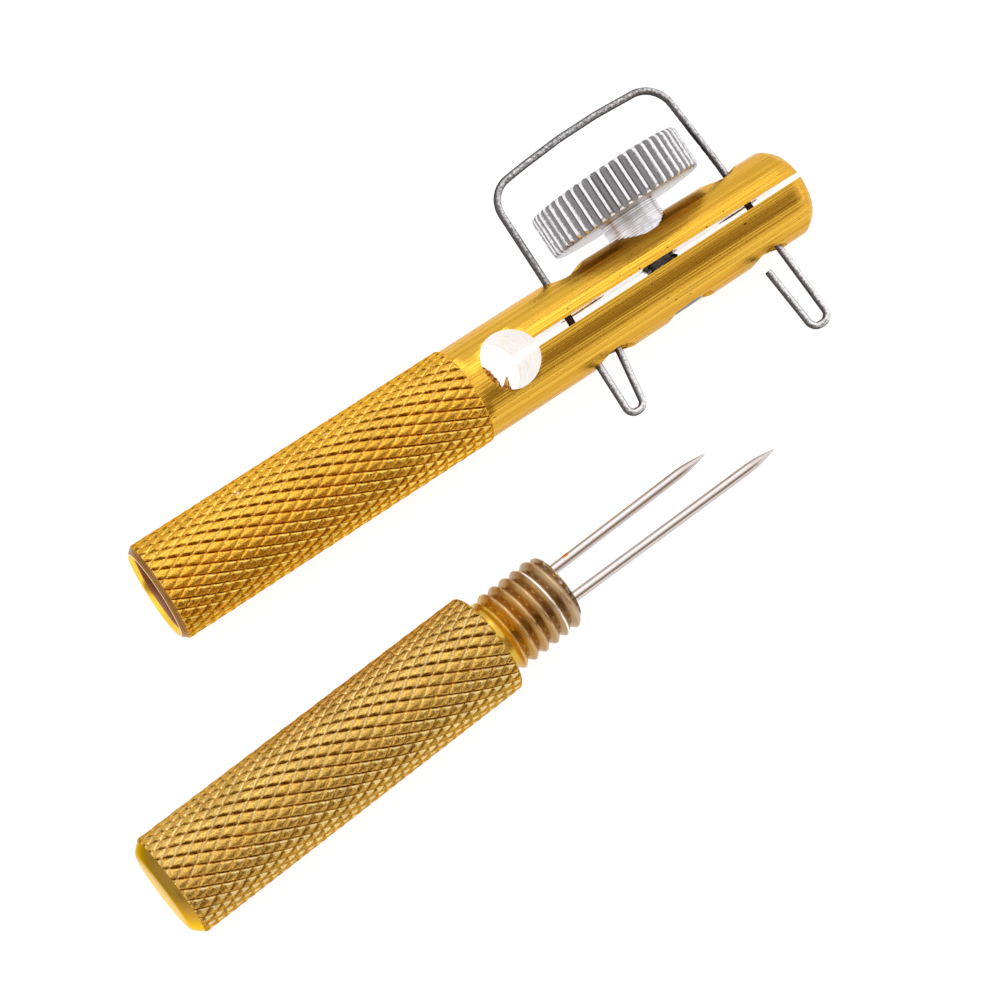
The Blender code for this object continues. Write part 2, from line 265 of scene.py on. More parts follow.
def make_knurl(length, knurl):
    """Rows of a diamond knurl: x below the front end, radius, tone and diagonals.

    Tone is painted light and shade: 0.5 on the pads, 1 at a painted highlight and 0 at painted
    shade. The steep grooves carry painted highlights on the side past the top of the bar, and one
    wall of the shallow ones on the other side.
    """
    starts, period = knurl["starts"], knurl["period"]
    count = round(length / period * KNURL_STEPS)
    row, column = np.meshgrid(np.arange(count + 1), np.arange(starts * KNURL_STEPS), indexing="ij")

    def past_groove(turned):
        """How far past the middle of the nearest groove, in diamonds."""
        return turned / KNURL_STEPS - np.round(turned / KNURL_STEPS)

    def share(value):
        """The value, kept between 0 and 1."""
        return np.clip(value, 0, 1)

    past = past_groove(column + row)
    steep, shallow = np.abs(past_groove(column - row)) * 2, np.abs(past) * 2
    # V grooves, the steep ones about half as deep, between pads that rise to a blunt point.
    steep_valley = STEEP_GROOVE_FLOOR + (1 - STEEP_GROOVE_FLOOR) * steep / GROOVE_SHARE
    valley = np.minimum(np.minimum(shallow / GROOVE_SHARE, steep_valley), 1)
    pad = share((np.minimum(steep, shallow) - GROOVE_SHARE) / 0.6)
    height = (1 - PAD_RISE) * valley + PAD_RISE * pad
    # up is 1 on the side past the top of the bar, and down is 1 on the other side.
    side = np.sin(knurl["top"] - column * (2 * math.pi / (starts * KNURL_STEPS)))
    up, down = share((side + 0.1) / 0.5), share((-side - 0.05) / 0.4)
    # Painted light and shade by side of the bar, and painted highlights along the steep grooves.
    tone = 0.5 + 0.12 * up - 0.17 * down
    tone += share(1 - steep / 0.26) * (0.28 + 0.3 * up - 0.4 * down)
    # Painted shade on one wall of a shallow groove and a painted highlight on the other. The pads
    # beside it have painted dark lenses on the far side of the bar and painted bright ones on the
    # near side.
    tone += np.where(past < 0.03, -0.35, 0.12) * share(1 - shallow / 0.3)
    tone -= 0.6 * up * (past < 0.03) * share((0.24 * steep + past) / 0.07)
    tone += 0.8 * down * (past > 0.0) * share((0.46 * steep - past) / 0.1)
    split = np.abs(past_groove(column - row)) <= np.abs(past_groove(column + row + 1))
    # The grooves' depth drifts along and round the bar.
    drift = np.sin(column * 0.19 + row * 0.043 + knurl["wobble"])
    drift = drift * np.sin(row * 0.11 - column * 0.07)
    radius = HANDLE_RADIUS - KNURL_DEPTH * (1 + 0.15 * drift) * (1 - height)
    return np.arange(count + 1) * length / count, radius, share(tone), split


# ---- Materials ----
class Nodes:
    """A short way to build one Principled metal with its own node tree."""

    def __init__(self, name, colour, roughness, metallic=1.0, tint=None):
        self.material = bpy.data.materials.new(name)
        self.material.use_nodes = True
        self.tree = self.material.node_tree
        self.shader = self.tree.nodes["Principled BSDF"]
        self.shader.inputs["Base Color"].default_value = (*colour, 1)
        self.shader.inputs["Roughness"].default_value = roughness
        self.shader.inputs["Metallic"].default_value = metallic
        if tint:
            self.shader.inputs["Specular Tint"].default_value = (*tint, 1)
        self.place = self.node("ShaderNodeTexCoord").outputs["Object"]
        self.last_normal = None

    def node(self, kind, **settings):
        made = self.tree.nodes.new(kind)
        for key, value in settings.items():
            setattr(made, key, value)
        return made

    def link(self, source, target):
        """Give a socket a number, a colour or another node's output."""
        if isinstance(source, (int, float)):
            target.default_value = source
        elif isinstance(source, tuple):
            target.default_value = (*source, 1) if len(source) == 3 else source
        else:
            self.tree.links.new(source, target)

    def scaled(self, scale):
        """The piece's own coordinates, times how many cells a metre holds along each axis."""
        made = self.node("ShaderNodeMapping")
        self.link(self.place, made.inputs["Vector"])
        made.inputs["Scale"].default_value = scale
        return made.outputs["Vector"]

    def noise(self, scale, detail=3.0, rough=0.55, distortion=0.0):
        made = self.node("ShaderNodeTexNoise")
        self.link(self.scaled(scale), made.inputs["Vector"])
        made.inputs["Scale"].default_value = 1.0
        made.inputs["Detail"].default_value = detail
        made.inputs["Roughness"].default_value = rough
        made.inputs["Distortion"].default_value = distortion
        return made.outputs["Fac"]

    def axis(self, name):
        parts = self.node("ShaderNodeSeparateXYZ")
        self.link(self.place, parts.inputs[0])
        return parts.outputs[name]

    def math(self, operation, *values):
        made = self.node("ShaderNodeMath", operation=operation)
        for value, socket in zip(values, made.inputs):
            self.link(value, socket)
        return made.outputs[0]

    def times(self, first, second):
        return self.math("MULTIPLY", first, second)

    def distance(self, value, middle):
        return self.math("ABSOLUTE", self.math("SUBTRACT", value, middle))

    def jitter(self, value, noise, amount):
        """The value, shifted up and down by a noise that is 0.5 on average."""
        return self.math("ADD", value, self.times(self.math("SUBTRACT", noise, 0.5), amount))

    def relief(self):
        """The mesh's own "relief": the knurl's painted light and shade, the depth of a flute or
        height of a thread.
        """
        return self.node("ShaderNodeAttribute", attribute_name="relief").outputs["Fac"]

    def remap(self, value, low, high, to_low=0.0, to_high=1.0):
        made = self.node("ShaderNodeMapRange")
        self.link(value, made.inputs["Value"])
        for socket, number in zip(("From Min", "From Max", "To Min", "To Max"),
                                  (low, high, to_low, to_high)):
            made.inputs[socket].default_value = number
        return made.outputs["Result"]

    def ramp(self, value, stops):
        """Colours at rising values, from (value, colour) pairs."""
        made = self.node("ShaderNodeValToRGB")
        self.link(value, made.inputs["Fac"])
        elements = made.color_ramp.elements
        for number, (position, colour) in enumerate(stops):
            element = elements[number] if number < 2 else elements.new(position)
            element.position = position
            element.color = (*colour, 1)
        return made.outputs["Color"]

    def mix(self, share, first, second):
        made = self.node("ShaderNodeMix", data_type="RGBA")
        self.link(share, made.inputs["Factor"])
        self.link(first, made.inputs["A"])
        self.link(second, made.inputs["B"])
        return made.outputs["Result"]

    def colour(self, value):
        self.link(value, self.shader.inputs["Base Color"])

    def roughness(self, value):
        self.link(value, self.shader.inputs["Roughness"])

    def bump(self, height, strength, distance):
        """Add a bump on top of those before it."""
        made = self.node("ShaderNodeBump")
        made.inputs["Strength"].default_value = strength
        made.inputs["Distance"].default_value = distance
        self.link(height, made.inputs["Height"])
        if self.last_normal is not None:
            self.link(self.last_normal, made.inputs["Normal"])
        self.last_normal = made.outputs["Normal"]
        self.link(self.last_normal, self.shader.inputs["Normal"])


GOLD = (0.74, 0.405, 0.042)
DEEP_GOLD = (0.50, 0.23, 0.015)
PALE_GOLD = (0.88, 0.54, 0.075)
# Each knurl's colours on its pads and of the painted shade in its grooves. A painted highlight in
# a groove has the pads' colour times the gain below.
BRIGHT_KNURL = ((0.77, 0.40, 0.045), (0.15, 0.058, 0.006))
OLIVE_KNURL = ((0.62, 0.37, 0.08), (0.12, 0.055, 0.01))
KNURL_HIGHLIGHT_GAIN = (1.38, 1.8, 3.8)


def drawn_gold():
    """Bright gold anodising over a drawn bar: lengthways streaks, a few pits and scratches."""
    n = Nodes("drawn_gold", GOLD, 0.2, tint=(1.0, 0.86, 0.68))
    streaks = n.noise((4, 5200, 5200), 3.0, 0.6)
    broad = n.noise((2, 1500, 1500), 2.0, 0.5)
    tone = n.math("ADD", n.times(streaks, 0.55), n.times(broad, 0.45))
    colour = n.ramp(tone, [(0.32, DEEP_GOLD), (0.47, GOLD), (0.7, PALE_GOLD)])
    grain = n.noise((5200, 6500, 6500), 2.0, 0.6)
    colour = n.mix(n.remap(grain, 0.55, 0.75, 0.0, 0.35), colour, DEEP_GOLD)
    # Thin dark lines run where this noise crosses its average.
    from_line = n.distance(n.noise((3, 2400, 2400), 3.0, 0.6), 0.5)
    lines = n.times(n.remap(from_line, 0.012, 0.003), n.remap(broad, 0.4, 0.6, 0.3, 1.0))
    colour = n.mix(n.times(lines, 0.75), colour, (0.20, 0.085, 0.012))
    pits = n.noise((1700, 3000, 3000), 1.0, 0.4)
    n.colour(n.mix(n.remap(pits, 0.765, 0.78), colour, (0.10, 0.045, 0.01)))
    n.roughness(n.remap(streaks, 0.3, 0.7, 0.13, 0.26))
    n.bump(broad, 0.9, 0.1 * MM)
    n.bump(streaks, 0.8, 0.04 * MM)
    n.bump(n.math("SUBTRACT", 1.0, lines), 0.4, 0.03 * MM)
    n.bump(grain, 0.6, 0.02 * MM)
    return n.material


def cut_metal():
    """Walls of the slot and the relief hole: pale bright aluminium with cutter marks across."""
    n = Nodes("cut_metal", (0.97, 0.93, 0.86), 0.15)
    marks = n.noise((900, 900, 160), 3.0, 0.6, 0.6)
    stain = n.noise((300, 420, 160), 2.0, 0.5)
    colour = n.mix(n.remap(marks, 0.5, 0.72, 0.0, 0.65), (0.99, 0.97, 0.95), (0.97, 0.86, 0.66))
    colour = n.mix(n.remap(stain, 0.56, 0.7, 0.0, 0.35), colour, (0.90, 0.70, 0.62))
    # The wall of the relief hole is duller, with peach and grey smears.
    at_hole = n.remap(n.axis("X"), RELIEF_X + 3.9 * MM, RELIEF_X + 3.4 * MM)
    smears = n.ramp(n.noise((260, 260, 900), 3.0, 0.6, 1.2), [
        (0.36, (0.55, 0.40, 0.28)), (0.46, (0.93, 0.88, 0.84)), (0.62, (0.80, 0.62, 0.45)),
    ])
    colour = n.mix(n.times(at_hole, 0.5), colour, smears)
    # Gold is left on the rear of the relief hole, where the cutter came out.
    rear = n.remap(n.axis("X"), RELIEF_X - 1.6 * MM, RELIEF_X - 2.9 * MM)
    near = n.remap(n.axis("Y"), 1.0 * MM, -2.0 * MM)
    gold = n.times(n.times(rear, near), n.remap(stain, 0.35, 0.6, 0.4, 1.0))
    n.colour(n.mix(gold, colour, (0.75, 0.34, 0.06)))
    n.roughness(n.remap(marks, 0.3, 0.7, 0.08, 0.25))
    n.bump(marks, 0.3, 0.03 * MM)
    return n.material


def knurled_gold(name, colours, seed):
    """Gold anodising on a knurl: grainy pads, painted highlights and painted shade in the grooves,
    a few bare scuffs.

    seed changes the noises a little, so that the two knurls don't look alike.
    """
    light, dark = colours
    n = Nodes(name, light, 0.25, tint=(0.9, 0.5, 0.12))
    grain = n.noise((4400 + seed, 7400, 7400), 3.0, 0.65)
    patch = n.noise((160 + seed, 240, 240), 2.0, 0.5)
    pale = tuple(min(1, part * 1.3) for part in light)
    bright = tuple(min(1, part * more) for part, more in zip(light, KNURL_HIGHLIGHT_GAIN))
    level = n.jitter(n.relief(), grain, 0.35)
    # The ramp paints shade at tone 0 and highlights near 1 around the pads' own colour.
    colour = n.ramp(level, [(0.02, dark), (0.42, light), (0.58, light), (0.92, bright)])
    colour = n.mix(n.remap(grain, 0.53, 0.66, 0.0, 0.9), colour, pale)
    colour = n.mix(n.remap(grain, 0.47, 0.34, 0.0, 0.7), colour, dark)
    colour = n.mix(n.remap(patch, 0.45, 0.7, 0.0, 0.2), colour, dark)
    scuff = n.noise((420 + seed, 520, 520), 1.0, 0.4)
    bare = n.times(n.remap(scuff, 0.79, 0.81), n.remap(grain, 0.45, 0.5))
    n.colour(n.mix(bare, colour, (0.78, 0.70, 0.66)))
    n.roughness(n.remap(grain, 0.3, 0.7, 0.12, 0.26))
    n.bump(grain, 0.8, 0.05 * MM)
    return n.material


def thread_metal():
    """Neck and thread of the needle half: yellow gold that browns towards the spigot's end."""
    n = Nodes("thread_gold", (0.5, 0.3, 0.08), 0.3)
    along, relief = n.axis("X"), n.relief()
    patch = n.noise((500, 900, 900), 3.0, 0.6)
    shifted = n.jitter(along, patch, 3 * MM)
    base = n.ramp(n.remap(shifted, NEEDLE_GRIP_LENGTH, SPIGOT_END), [
        (0.0, (0.72, 0.44, 0.06)), (0.14, (0.62, 0.36, 0.05)), (0.3, (0.48, 0.255, 0.055)),
        (0.6, (0.42, 0.25, 0.09)), (1.0, (0.40, 0.285, 0.165)),
    ])
    wear_and_highlight = n.mix(n.remap(relief, 0.8, 0.98, 0.0, 0.6), base, (0.66, 0.44, 0.25))
    # A painted highlight: one turn near the end is painted white along its crest.
    start, end = HIGHLIGHT_CREST_SPAN
    crest_highlight = n.times(n.remap(along, start, start + 0.3 * MM), n.remap(along, end, end - 0.3 * MM))
    crest_highlight = n.times(crest_highlight, n.remap(relief, 0.93, 0.97))
    wear_and_highlight = n.mix(crest_highlight, wear_and_highlight, (0.97, 0.95, 0.92))
    # The last edge is bare in patches.
    at_end = n.remap(along, SPIGOT_END - 0.5 * MM, SPIGOT_END - 0.3 * MM)
    bare = n.times(at_end, n.remap(patch, 0.48, 0.6))
    n.colour(n.mix(bare, wear_and_highlight, (0.80, 0.66, 0.62)))
    n.roughness(n.remap(patch, 0.3, 0.7, 0.22, 0.42))
    n.bump(n.noise((5000, 1500, 1500), 2.0), 0.3, 0.02 * MM)
    return n.material


def face_gold(name, wear_and_highlight):
    """Turned end faces with fine rings and painted light and shade: the lip of the mouth, or the
    needle half's end.
    """
    n = Nodes(name, (1.0, 0.64, 0.06), 0.22, tint=(1.0, 0.9, 0.75) if wear_and_highlight else (1.0, 0.8, 0.3))
    along, y, z = n.axis("X"), n.axis("Y"), n.axis("Z")
    radius = n.math("SQRT", n.math("ADD", n.times(y, y), n.times(z, z)))
    turned = n.node("ShaderNodeTexNoise", noise_dimensions="1D")
    n.link(n.times(radius, 9000.0), turned.inputs["W"])
    turned.inputs["Scale"].default_value = 1.0
    rings = turned.outputs["Fac"]
    n.roughness(n.remap(rings, 0.3, 0.7, 0.16, 0.3))
    ringed = n.remap(rings, 0.35, 0.75, 0.0, 0.5)
    colour = n.mix(ringed, (1.0, 0.66, 0.07), (0.86, 0.5, 0.04))
    if wear_and_highlight:
        # Painted shade on the lip outside its rim, next to the knurl, and a pale line along the
        # rim, partly worn bare metal and partly a painted highlight.
        beyond = n.remap(radius, 5.5 * MM, 5.6 * MM)
        outside = n.times(beyond, n.remap(along, -0.75 * MM, -0.65 * MM))
        colour = n.mix(outside, colour, n.mix(rings, (0.14, 0.055, 0.012), (0.40, 0.20, 0.06)))
        at_rim = n.remap(n.distance(radius, RIM_LINE_RADIUS), 0.1 * MM, 0.05 * MM)
        at_mouth = n.remap(along, -0.4 * MM, -0.5 * MM)
        colour = n.mix(n.times(at_rim, at_mouth), colour, (0.90, 0.72, 0.62))
    else:
        # Painted reflection and shade: the end face is bright below, towards the table, and
        # brown above.
        colour = n.mix(0.85, colour, n.ramp(n.remap(z, -4.5 * MM, 5.5 * MM), [
            (0.0, (1.0, 0.82, 0.2)), (0.45, (0.95, 0.6, 0.08)), (0.7, (0.55, 0.27, 0.04)),
            (0.92, (0.16, 0.07, 0.015)),
        ]))
    n.colour(colour)
    n.bump(rings, 0.3, 0.02 * MM)
    return n.material


def bore_gold():
    """Inside of the drilled bore: darker, with the drill's rings."""
    n = Nodes("bore_gold", (0.42, 0.22, 0.08), 0.42)
    rings = n.noise((2600, 60, 60), 3.0)
    n.colour(n.mix(rings, (0.30, 0.12, 0.07), (0.52, 0.27, 0.17)))
    n.bump(rings, 0.5, 0.05 * MM)
    return n.material


def burr_gold():
    """Scorched orange-brown metal of the burr."""
    n = Nodes("burr_gold", (0.55, 0.24, 0.05), 0.35)
    mottled = n.noise((1800, 1800, 1800), 3.0, 0.6)
    n.colour(n.ramp(mottled, [
        (0.35, (0.12, 0.05, 0.02)), (0.5, (0.55, 0.22, 0.04)), (0.7, (0.85, 0.48, 0.16)),
    ]))
    n.bump(mottled, 0.5, 0.1 * MM)
    return n.material


def plated(name, light, dark, roughness, scale, seed):
    """Nickel-like metal with turning marks round its x axis, scale of them to a metre."""
    n = Nodes(name, light, roughness)
    marks = n.noise((scale, 90 + seed, 90), 4.0, 0.65)
    stain = n.noise((700, 900 + seed, 900), 3.0, 0.6)
    colour = n.mix(n.remap(marks, 0.35, 0.72, 0.0, 0.7), light, dark)
    n.colour(n.mix(n.remap(stain, 0.55, 0.8, 0.0, 0.5), colour, dark))
    n.roughness(n.remap(marks, 0.3, 0.7, roughness * 0.75, roughness * 1.5))
    n.bump(marks, 0.35, 0.04 * MM)
    return n.material


def fluted_nickel():
    """Bright worn nickel on the ridges and rims, dull grey in the flutes."""
    n = Nodes("nickel", (0.80, 0.79, 0.80), 0.2)
    grain = n.noise((2600, 4200, 4200), 3.0, 0.65)
    stain = n.noise((500, 900, 900), 3.0, 0.6)
    level = n.jitter(n.relief(), grain, 1.2)
    colour = n.ramp(level, [
        (0.1, (0.82, 0.81, 0.82)), (0.4, (0.33, 0.31, 0.315)), (1.0, (0.24, 0.225, 0.23)),
    ])
    n.colour(n.mix(n.remap(stain, 0.6, 0.8, 0.0, 0.35), colour, (0.42, 0.40, 0.40)))
    n.roughness(n.remap(level, 0.0, 0.6, 0.18, 0.45))
    n.bump(grain, 0.5, 0.05 * MM)
    return n.material


def drawn_wire():
    """Grey steel wire, marked all along, with painted light, and painted shade in the slot."""
    n = Nodes("drawn_wire", (0.33, 0.31, 0.31), 0.33, tint=(0.3, 0.28, 0.28))
    marks = n.noise((2700, 2700, 2700), 4.0, 0.65)
    fine = n.noise((5200, 5200, 5200), 2.0, 0.6)
    tone = n.math("ADD", n.times(marks, 0.7), n.times(fine, 0.3))
    # Painted light: the wire is lighter along its upper and front sides and darker along the
    # others, and a little lighter towards -y.
    facing = n.node("ShaderNodeSeparateXYZ")
    n.link(n.node("ShaderNodeTexCoord").outputs["Normal"], facing.inputs[0])
    bright = n.math("ADD", facing.outputs["Z"], n.times(facing.outputs["X"], 0.5))
    level = n.jitter(bright, tone, 1.8)
    level = n.math("ADD", level, n.remap(n.axis("Y"), 4 * MM, -5 * MM, -0.1, 0.1))
    colour = n.ramp(n.times(level, 0.8), [
        (0.3, (0.09, 0.08, 0.08)), (0.6, (0.22, 0.205, 0.205)), (0.95, (0.9, 0.89, 0.9)),
    ])
    # Painted shade: inside the slot it is dark.
    inside = n.remap(n.distance(n.axis("Y"), SLOT_Y), 1.6 * MM, 1.2 * MM)
    n.colour(n.mix(inside, colour, (0.05, 0.025, 0.02)))
    n.roughness(n.remap(marks, 0.3, 0.7, 0.22, 0.5))
    n.bump(marks, 0.6, 0.1 * MM)
    return n.material


def needle_steel(name, rust):
    """Polished needle with faint lengthways grinding, and perhaps a rust spot near its foot."""
    n = Nodes(name, (0.56, 0.49, 0.47), 0.22, tint=(0.5, 0.47, 0.47))
    grind = n.noise((60, 7000, 7000), 3.0)
    spots = n.noise((900, 2500, 2500), 3.0, 0.7)
    colour = n.mix(n.remap(grind, 0.4, 0.7, 0.0, 0.5), (0.68, 0.61, 0.59), (0.48, 0.42, 0.41))
    colour = n.mix(n.remap(spots, 0.62, 0.72, 0.0, 0.6), colour, (0.26, 0.15, 0.10))
    if rust:
        ragged = n.jitter(n.distance(n.axis("X"), RUST_AT), spots, 0.6 * MM)
        on_side = n.remap(n.axis("Y"), 0.0, 0.18 * MM)
        spot = n.times(n.remap(ragged, 0.5 * MM, 0.3 * MM), on_side)
        colour = n.mix(spot, colour, (0.80, 0.22, 0.04))
    n.colour(colour)
    n.roughness(n.remap(grind, 0.3, 0.7, 0.12, 0.28))
    n.bump(grind, 0.25, 0.02 * MM)
    return n.material


# ---- Tool half ----
def make_grip():
    """Knurled tube with its lip, mouth and tapped bore, closed as a ring."""
    below, radius, tone, split = make_knurl(GRIP_LENGTH, TOOL_KNURL)
    x = GRIP_LENGTH - below
    columns = radius.shape[1]
    chamfer_at_mouth = 6.05 * MM + x * 0.9
    chamfer_at_jaws = 6.12 * MM + (GRIP_LENGTH - x) * 0.9
    radius = np.minimum(radius, np.minimum(chamfer_at_mouth, chamfer_at_jaws)[:, None])
    thread_x = np.arange(COUNTERBORE_DEPTH + 0.3 * MM, TAPPED_DEPTH, 0.2 * MM)
    phase = thread_x[:, None] / THREAD_PITCH - np.arange(columns) / columns
    crest = np.abs(phase - np.round(phase)) * 2
    thread_r = TAPPED_RADIUS - TAPPED_THREAD_DEPTH * crest
    counterbore = [(at, COUNTERBORE_RADIUS) for at in (0.0, 0.6 * MM, COUNTERBORE_DEPTH)]
    bore = [(at, BORE_RADIUS) for at in (TAPPED_DEPTH, 20 * MM, 30 * MM, GRIP_LENGTH)]
    parts = [
        (np.repeat(x[:, None], columns, 1), radius),
        even_rows(in_mm(LIP), columns),
        even_rows(counterbore, columns),
        (np.repeat(thread_x[:, None], columns, 1), thread_r),
        even_rows(bore, columns),
    ]
    all_x, all_r = (np.concatenate(arrays) for arrays in zip(*parts))
    relief = np.zeros(all_r.shape, np.float32)
    # The knurl's rows carry its painted light and shade as tone.
    relief[: len(x)] = tone
    diagonals = np.zeros(all_r.shape, bool)
    diagonals[: len(x)] = split
    mesh = lathe("knurled_grip", all_x, all_r, ring=True, sharp=28, split=diagonals, values=relief)
    materials = (knurled_gold("gold_knurl", BRIGHT_KNURL, 0),
                 face_gold("turned_gold", wear_and_highlight=True), bore_gold())
    for material in materials:
        mesh.materials.append(material)
    # Each cell is two triangles, and the second ones follow all the first ones.
    row = np.arange(all_r.size) // columns
    knurl_end = len(x) - 1
    kind = np.where(row < knurl_end, 0, np.where(row < knurl_end + len(LIP), 1, 2))
    mesh.polygons.foreach_set("material_index", np.tile(kind, 2).astype(np.int32))
    return place("knurled_grip", mesh, TOOL, "tool_half", None, ["tool_body"])


def cut_with(piece, cutter):
    """Apply an exact boolean difference and remove the cutter."""
    boolean = piece.modifiers.new("cut", "BOOLEAN")
    boolean.operation = "DIFFERENCE"
    boolean.solver = "EXACT"
    boolean.object = cutter
    graph = bpy.context.evaluated_depsgraph_get()
    result = bpy.data.meshes.new_from_object(piece.evaluated_get(graph))
    piece.modifiers.clear()
    piece.data = result
    bpy.data.objects.remove(cutter)


def cutter_from(mesh, matrix=Matrix.Identity(4)):
    """An object to cut with, which rides on nothing and is gone after its cut."""
    cutter = bpy.data.objects.new("cutter", mesh)
    cutter.matrix_world = matrix
    bpy.context.scene.collection.objects.link(cutter)
    return cutter


def round_cutter(x, y, radius, low, high, along):
    """A smooth cylinder across the tool half, along its y or z."""
    mesh = from_profile("cutter", [(high, radius), (low, radius)], columns=96)
    quarter = math.pi / 2
    turn = Matrix.Rotation(quarter, 4, "Z") if along == "y" else Matrix.Rotation(-quarter, 4, "Y")
    return cutter_from(mesh, Matrix.Translation((x, y, 0)) @ turn)


def box_cutter(centre, size):
    """A box along the tool half's own axes."""
    bm = bmesh.new()
    bmesh.ops.create_cube(bm, size=1.0)
    bm.transform(Matrix.Translation(centre) @ Matrix.Diagonal((*size, 1)))
    mesh = bpy.data.meshes.new("cutter")
    bm.to_mesh(mesh)
    bm.free()
    return cutter_from(mesh)


def is_cut_wall(at, normal):
    """True on the walls of the slot and of the relief hole."""
    inside = math.hypot(at.y, at.z) < JAW_RADIUS - 0.1 * MM
    in_slot = abs(at.y - SLOT_Y) < SLOT_WIDTH and abs(normal.y) > 0.9
    from_hole = math.hypot(at.x - RELIEF_X, at.y - SLOT_Y)
    in_hole = abs(from_hole - RELIEF_RADIUS) < 0.12 * MM and abs(normal.z) < 0.3
    return inside and (in_slot or in_hole)


def pinch(mesh):
    """Bend both jaws towards the slot, as the clamp screw does."""
    points = np.empty(len(mesh.vertices) * 3, np.float32)
    mesh.vertices.foreach_get("co", points)
    points = points.reshape(-1, 3)
    share = np.clip((points[:, 0] - PINCH_FROM) / (PINCH_TO - PINCH_FROM), 0, None) ** 1.4
    points[:, 1] += np.where(points[:, 1] > SLOT_Y, -PINCH_WHEEL_JAW, PINCH_OTHER_JAW) * share
    mesh.vertices.foreach_set("co", points.ravel())
    mesh.update()


def make_jaws():
    """Smooth bar with relief hole, slot, leg holes and screw recess; then the jaws are pinched."""
    nose = [(TOOL_LENGTH - back * MM, radius * MM) for back, radius in NOSE_ROUND]
    straight = np.linspace(TOOL_LENGTH - 1.75 * MM, GRIP_LENGTH, 42)
    profile = [*nose, *[(x, JAW_RADIUS) for x in straight]]
    mesh = from_profile("slotted_jaws", profile, columns=144)
    jaws = bpy.data.objects.new("slotted_jaws", mesh)
    bpy.context.scene.collection.objects.link(jaws)
    reach = 2 * JAW_RADIUS
    drill_tip = BORE_DEPTH + BORE_RADIUS / math.tan(math.radians(DRILL_HALF_ANGLE))
    drill = [(drill_tip, 0.02 * MM), (BORE_DEPTH, BORE_RADIUS), (40 * MM, BORE_RADIUS)]
    cut_with(jaws, cutter_from(from_profile("cutter", drill, columns=96)))
    # The slot runs from the relief hole out past the nose.
    slot_size = (60 * MM, SLOT_WIDTH, 2 * reach)
    cut_with(jaws, box_cutter((RELIEF_X + 30 * MM, SLOT_Y, 0), slot_size))
    cut_with(jaws, round_cutter(RELIEF_X, SLOT_Y, RELIEF_RADIUS, -reach, reach, "z"))
    for x, radius in LEG_HOLES:
        cut_with(jaws, round_cutter(x, 0, radius, -reach, reach, "y"))
    for radius, low, high in ((SCREW_RADIUS + 0.3 * MM, -reach, reach),
                              (RECESS_RADIUS, RECESS_FLOOR, reach),
                              (TIP_RECESS_RADIUS, -reach, TIP_RECESS_FLOOR)):
        cut_with(jaws, round_cutter(SCREW_X, 0, radius, low, high, "y"))
    pinch(jaws.data)
    bevel = jaws.modifiers.new("edges", "BEVEL")
    bevel.width = 0.07 * MM
    bevel.segments = 2
    bevel.limit_method = "ANGLE"
    bevel.angle_limit = math.radians(35)
    bevel.use_clamp_overlap = True
    graph = bpy.context.evaluated_depsgraph_get()
    done = bpy.data.meshes.new_from_object(jaws.evaluated_get(graph))
    bpy.data.objects.remove(jaws)
    done.name = "slotted_jaws"
    done.materials.clear()
    done.shade_smooth()
    done.set_sharp_from_angle(angle=math.radians(40))
    for material in (drawn_gold(), cut_metal()):
        done.materials.append(material)
    for face in done.polygons:
        face.material_index = int(is_cut_wall(face.center, face.normal))
    return place("slotted_jaws", done, TOOL, "tool_half", None, ["tool_body"])


def make_burr():
    """Torn sliver of gold left where the bore breaks into the relief hole."""
    rng = np.random.default_rng(11)
    steps = 22
    angle = np.radians(np.linspace(154, 247, steps))
    places = np.linspace(0, steps - 1, len(BURR_REACH))
    reach = np.interp(np.arange(steps), places, BURR_REACH)
    inner = RELIEF_RADIUS - (reach + rng.uniform(-0.07, 0.07, steps)) * MM
    outer = RELIEF_RADIUS + 0.1 * MM
    top = BURR_TOP + rng.uniform(-0.15, 0.15, steps) * MM
    verts = []
    for turn, edge, high in zip(angle, inner, top):
        for radius, z in ((outer, high), (edge, high - 0.5 * MM), (outer, high - 0.6 * MM)):
            x, y = RELIEF_X + radius * math.cos(turn), SLOT_Y + radius * math.sin(turn)
            verts.append((x, y, z))
    faces = [[0, 1, 2], [3 * steps - 1, 3 * steps - 2, 3 * steps - 3]]
    for number in range(steps - 1):
        for side in range(3):
            a, b = 3 * number + side, 3 * number + (side + 1) % 3
            faces.append([a, a + 3, b + 3, b])
    mesh = bpy.data.meshes.new("bore_burr")
    mesh.from_pydata(verts, [], faces)
    mesh.update()
    bm = bmesh.new()
    bm.from_mesh(mesh)
    bmesh.ops.recalc_face_normals(bm, faces=bm.faces)
    bm.to_mesh(mesh)
    bm.free()
    return place("bore_burr", mesh, TOOL, "tool_half", burr_gold())


